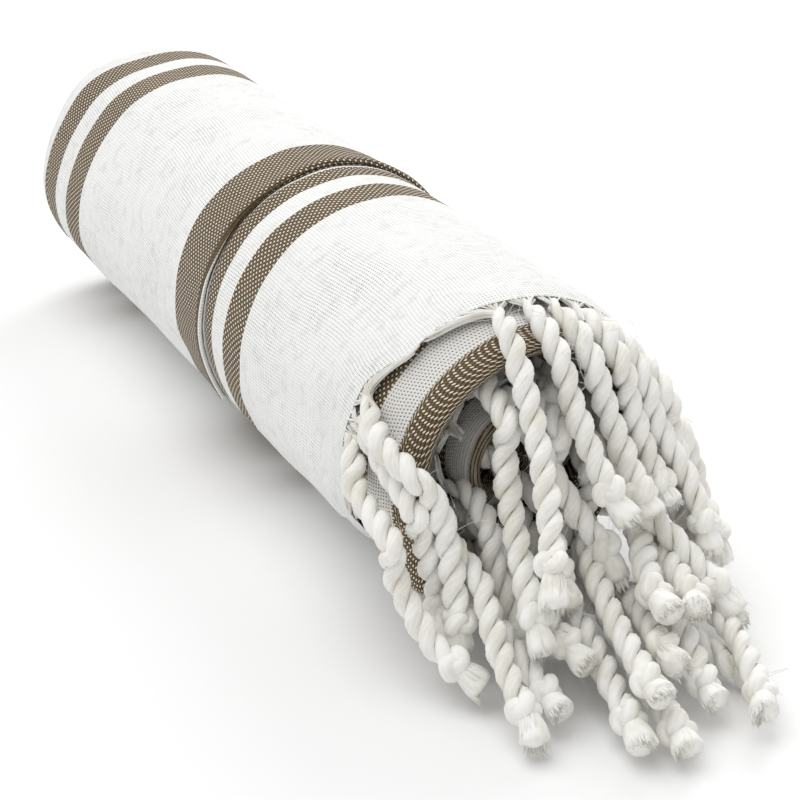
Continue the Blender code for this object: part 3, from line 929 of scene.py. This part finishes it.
def new_material(name):
    material = bpy.data.materials.new(name)
    material.use_nodes = True
    return material, material.node_tree, material.node_tree.nodes["Principled BSDF"]


def inside(tree, place, stretch):
    """1 where the place is within the stretch, 0 elsewhere."""
    low, high = stretch
    middle, half = (low + high) / 2, (high - low) / 2
    return add(tree, "Math", (place, middle, half), operation="COMPARE")[0]


def woven_cotton():
    """Plain weave of soft-spun cotton, undyed, with dark brown stripes. The eye sees a matt cloth
    with uneven pinholes between its threads, painted dark as the shade seen through them, and
    rows of pale warp dots across each stripe."""
    material, tree, shader = new_material("woven_cotton")
    place = add(tree, "UVMap", uv_map="threads")[0]
    noise = {"Vector": place, "Scale": 95.0, "Detail": 1.0}
    wander = add(tree, "TexNoise", noise)["Color"]
    parts = add(tree, "SeparateXYZ", (place,))
    wanders = add(tree, "SeparateXYZ", (wander,))
    crosswise, lengthwise = parts[0], parts[1]

    # Warp and weft as rows of humps, by turns over and under each other.
    floors = []
    humps = []
    for at, drift in ((crosswise, wanders[0]), (lengthwise, wanders[1])):
        shifted = add(tree, "Math", (drift, THREAD_WANDER, at), operation="MULTIPLY_ADD")[0]
        cell = add(tree, "Math", (shifted, THREAD_PITCH), operation="DIVIDE")[0]
        floors.append(add(tree, "Math", (cell,), operation="FLOOR")[0])
        across = add(tree, "Math", (cell,), operation="FRACT")[0]
        half_turn = add(tree, "Math", (across, math.pi), operation="MULTIPLY")[0]
        humps.append(add(tree, "Math", (half_turn,), operation="SINE")[0])
    diagonal = add(tree, "Math", floors, operation="ADD")[0]
    over = add(tree, "Math", (diagonal, 1.0), operation="PINGPONG")[0]
    under = add(tree, "Math", (1.0, over), operation="SUBTRACT")[0]
    weft_low = add(tree, "Math", (humps[1], 0.5, 0.5), operation="MULTIPLY_ADD")[0]
    warp_low = add(tree, "Math", (humps[0], 0.5, 0.5), operation="MULTIPLY_ADD")[0]
    warp = add(tree, "Math", (humps[0], weft_low), operation="MULTIPLY")[0]
    weft = add(tree, "Math", (humps[1], warp_low), operation="MULTIPLY")[0]
    warp_up = add(tree, "Math", (warp, over), operation="MULTIPLY")[0]
    weft_up = add(tree, "Math", (weft, under), operation="MULTIPLY")[0]
    height = add(tree, "Math", (warp_up, weft_up), operation="ADD")[0]
    thread = add(tree, "Math", humps, operation="MAXIMUM")[0]
    hole = add(tree, "Math", (1.0, thread), operation="SUBTRACT")[0]

    # Each thread has a tone of its own, and the yarn is cloudy along its length.
    tones = [add(tree, "TexWhiteNoise", {"W": row}, noise_dimensions="1D")["Value"] for row in floors]
    tone = add(tree, "Math", tones, operation="ADD")[0]
    noise = {"Vector": place, "Scale": 240.0, "Detail": 2.0}
    cloudy = add(tree, "TexNoise", noise)[0]
    noise = {"Vector": place, "Scale": 34.0, "Detail": 2.0}
    patches = add(tree, "TexNoise", noise)[0]

    stripe = inside(tree, lengthwise, STRIPE_ROWS[0])
    for stretch in STRIPE_ROWS[1:]:
        stripe = add(tree, "Math", (stripe, inside(tree, lengthwise, stretch)), operation="ADD")[0]
    open_band = inside(tree, lengthwise, OPEN_BAND)

    # White cloth: crowns painted lighter than the hollows between threads, as painted light and
    # shade, then cloudy yarn, thread tones, and the pinholes, painted dark as painted shade.
    eased_step = {"interpolation_type": "SMOOTHSTEP"}
    colours = {"data_type": "RGBA"}
    # The thread crowns are painted lighter and the hollows darker: painted light and shade on the
    # weave.
    lit_crown = add(tree, "MapRange", (height, 0.05, 0.75), **eased_step)[0]
    white = add(tree, "Mix", {0: lit_crown, 6: colour("EBEBE9"), 7: colour("FAFAF8")}, **colours)[2]
    cloud = add(tree, "MapRange", (cloudy, 0.50, 0.70), **eased_step)[0]
    cloud = add(tree, "Math", (cloud, 0.30), operation="MULTIPLY")[0]
    white = add(tree, "Mix", {0: cloud, 6: white, 7: colour("CFCFCB")}, **colours)[2]
    greyed = add(tree, "Math", (tone, 0.05), operation="MULTIPLY")[0]
    white = add(tree, "Mix", {0: greyed, 6: white, 7: colour("B9B9B4")}, **colours)[2]
    corner = add(tree, "CombineXYZ", floors)[0]
    crossing = add(tree, "TexWhiteNoise", {"Vector": corner}, noise_dimensions="2D")["Value"]
    patchy = add(tree, "MapRange", (patches, 0.36, 0.66), **eased_step)[0]
    uneven = add(tree, "Math", (crossing, patchy), operation="MULTIPLY")[0]
    opened = add(tree, "Math", (uneven, 0.85, 0.14), operation="MULTIPLY_ADD")[0]
    band_opened = add(tree, "Math", (open_band, 0.95), operation="MULTIPLY")[0]
    opened = add(tree, "Math", (opened, band_opened), operation="MAXIMUM")[0]
    # The pinholes are painted a dark brown-grey: painted shade seen through the gaps between threads.
    shaded_holes = add(tree, "MapRange", (hole, 0.32, 0.58), **eased_step)[0]
    shaded_holes = add(tree, "Math", (shaded_holes, opened), operation="MULTIPLY")[0]
    shaded = add(tree, "Mix", {0: open_band, 6: white, 7: colour("E4E2DE")}, **colours)[2]
    white = add(tree, "Mix", {0: shaded_holes, 6: shaded, 7: colour("3F3A33")}, **colours)[2]

    # Brown stripes: dark weft, painted lighter on its crowns as painted light and shade, with pale
    # warp dots, but none on the plain line.
    # The weft's crowns are painted lighter than its hollows: painted light and shade.
    lit = add(tree, "MapRange", (weft, 0.15, 0.85), **eased_step)[0]
    dark = add(tree, "Mix", {0: lit, 6: colour("33271A"), 7: colour("6F5D45")}, **colours)[2]
    faded = add(tree, "Math", (tone, 0.12), operation="MULTIPLY")[0]
    dark = add(tree, "Mix", {0: faded, 6: dark, 7: colour("94805F")}, **colours)[2]
    plain = inside(tree, lengthwise, PLAIN_LINE)
    dotted = add(tree, "Math", (1.0, plain), operation="SUBTRACT")[0]
    crossed = add(tree, "Math", humps, operation="MULTIPLY")[0]
    float_up = add(tree, "Math", (crossed, over), operation="MULTIPLY")[0]
    dots = add(tree, "MapRange", (float_up, 0.34, 0.64), **eased_step)[0]
    dots = add(tree, "Math", (dots, dotted), operation="MULTIPLY")[0]
    brown = add(tree, "Mix", {0: dots, 6: dark, 7: colour("E8DFCD")}, **colours)[2]

    tint = add(tree, "Mix", {0: stripe, 6: white, 7: brown}, **colours)[2]
    tree.links.new(tint, shader.inputs["Base Color"])
    shader.inputs["Roughness"].default_value = 0.93
    shader.inputs["Specular IOR Level"].default_value = 0.15
    shader.inputs["Sheen Weight"].default_value = 0.12
    shader.inputs["Sheen Roughness"].default_value = 0.5
    soft = {"Strength": 0.35, "Distance": 0.0006, "Height": cloudy}
    soft = add(tree, "Bump", soft)[0]
    bump = {"Strength": 0.40, "Distance": 0.00032, "Height": height, "Normal": soft}
    tree.links.new(add(tree, "Bump", bump)[0], shader.inputs["Normal"])
    return material


def spun_cotton(name, pale, deep):
    """Yarn of loose cotton staple: soft and matt, with fibres along each strand at a slight
    slant."""
    material, tree, shader = new_material(name)
    place = add(tree, "UVMap", uv_map="yarn")[0]
    parts = add(tree, "SeparateXYZ", (place,))
    spot = add(tree, "TexCoord")["Object"]
    ragged = add(tree, "TexNoise", {"Vector": spot, "Scale": 420.0, "Detail": 3.0})[0]
    slant = add(tree, "Math", (parts[1], 900.0), operation="MULTIPLY")[0]
    around = add(tree, "Math", (parts[0], 26.0, slant), operation="MULTIPLY_ADD")[0]
    lines = add(tree, "Math", (ragged, 7.0, around), operation="MULTIPLY_ADD")[0]
    lines = add(tree, "Math", (lines,), operation="SINE")[0]
    blotch = add(tree, "TexNoise", {"Vector": spot, "Scale": 130.0, "Detail": 2.0})[0]
    share = add(tree, "Math", (lines, 0.05, blotch), operation="MULTIPLY_ADD")[0]
    share = add(tree, "MapRange", (share, 0.35, 0.75), interpolation_type="SMOOTHSTEP")[0]
    tint = add(tree, "Mix", {0: share, 6: colour(pale), 7: colour(deep)}, data_type="RGBA")[2]
    tree.links.new(tint, shader.inputs["Base Color"])
    shader.inputs["Roughness"].default_value = 0.9
    shader.inputs["Specular IOR Level"].default_value = 0.2
    shader.inputs["Sheen Weight"].default_value = 0.25
    shader.inputs["Sheen Roughness"].default_value = 0.4
    height = add(tree, "Math", (lines, 0.25, ragged), operation="MULTIPLY_ADD")[0]
    bump = {"Strength": 0.45, "Distance": 0.00022, "Height": height}
    tree.links.new(add(tree, "Bump", bump)[0], shader.inputs["Normal"])
    return material


# ---------------------------------------------------------------- the scene


def make_floor():
    """Pale matt card, which shows only soft shadows."""
    corners = [(-1, -1), (1, -1), (1, 1), (-1, 1)]
    points = [(FLOOR_HALF * x, FLOOR_HALF * y, -FLOOR_DROP) for x, y in corners]
    floor = mesh_object("floor", points, [(0, 1, 2, 3)], smooth_faces=False)
    material, _, shader = new_material("pale_floor")
    shader.inputs["Base Color"].default_value = colour("F7F7F7")
    shader.inputs["Roughness"].default_value = 0.9
    shader.inputs["Specular IOR Level"].default_value = 0.1
    floor.data.materials.append(material)


def area_light(name, place, towards, size, power):
    light = bpy.data.lights.new(name, "AREA")
    light.shape = "DISK"
    light.size = size
    light.energy = power
    made = bpy.data.objects.new(name, light)
    bpy.context.scene.collection.objects.link(made)
    made.location = place
    made.rotation_euler = (Vector(towards) - Vector(place)).to_track_quat("-Z", "Y").to_euler()


def make_studio():
    world = bpy.data.worlds.new("studio")
    bpy.context.scene.world = world
    world.use_nodes = True
    sky = world.node_tree.nodes["Background"]
    sky.inputs["Color"].default_value = colour("FFFFFF")
    sky.inputs["Strength"].default_value = 0.66
    area_light("above", (-0.25, -0.35, 1.5), (0.0, 0.0, 0.0), 1.6, 11.5)
    area_light("behind", (-0.7, 0.9, 0.9), (0.0, 0.0, 0.04), 0.9, 6.0)
    camera = bpy.data.cameras.new("camera")
    made = bpy.data.objects.new("camera", camera)
    bpy.context.scene.collection.objects.link(made)
    bpy.context.scene.camera = made
    camera.sensor_width = 36.0
    camera.lens = CAMERA_LENS
    x, y, z = CAMERA_FROM_ROLL
    made.location = (x + SHIFT_X, y + TOWEL_Y, z)
    made.rotation_euler = Vector(CAMERA_LOOKS).to_track_quat("-Z", "Y").to_euler()
    bpy.context.scene.view_settings.view_transform = "Standard"


def main():
    rng = np.random.default_rng(7)
    cloth = make_cloth()
    cloth.data.materials.append(woven_cotton())
    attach(cloth, "root")
    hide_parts("towel_roll")
    yarn = spun_cotton("fringe_cotton", "F9F8F4", "E9E6DC")
    fringe = make_fringe(rng) + [make_edge_threads(rng)]
    for piece in fringe:
        piece.data.materials.append(yarn)
        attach(piece, "root")
        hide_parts("fringe")
    make_floor()
    make_studio()


main()
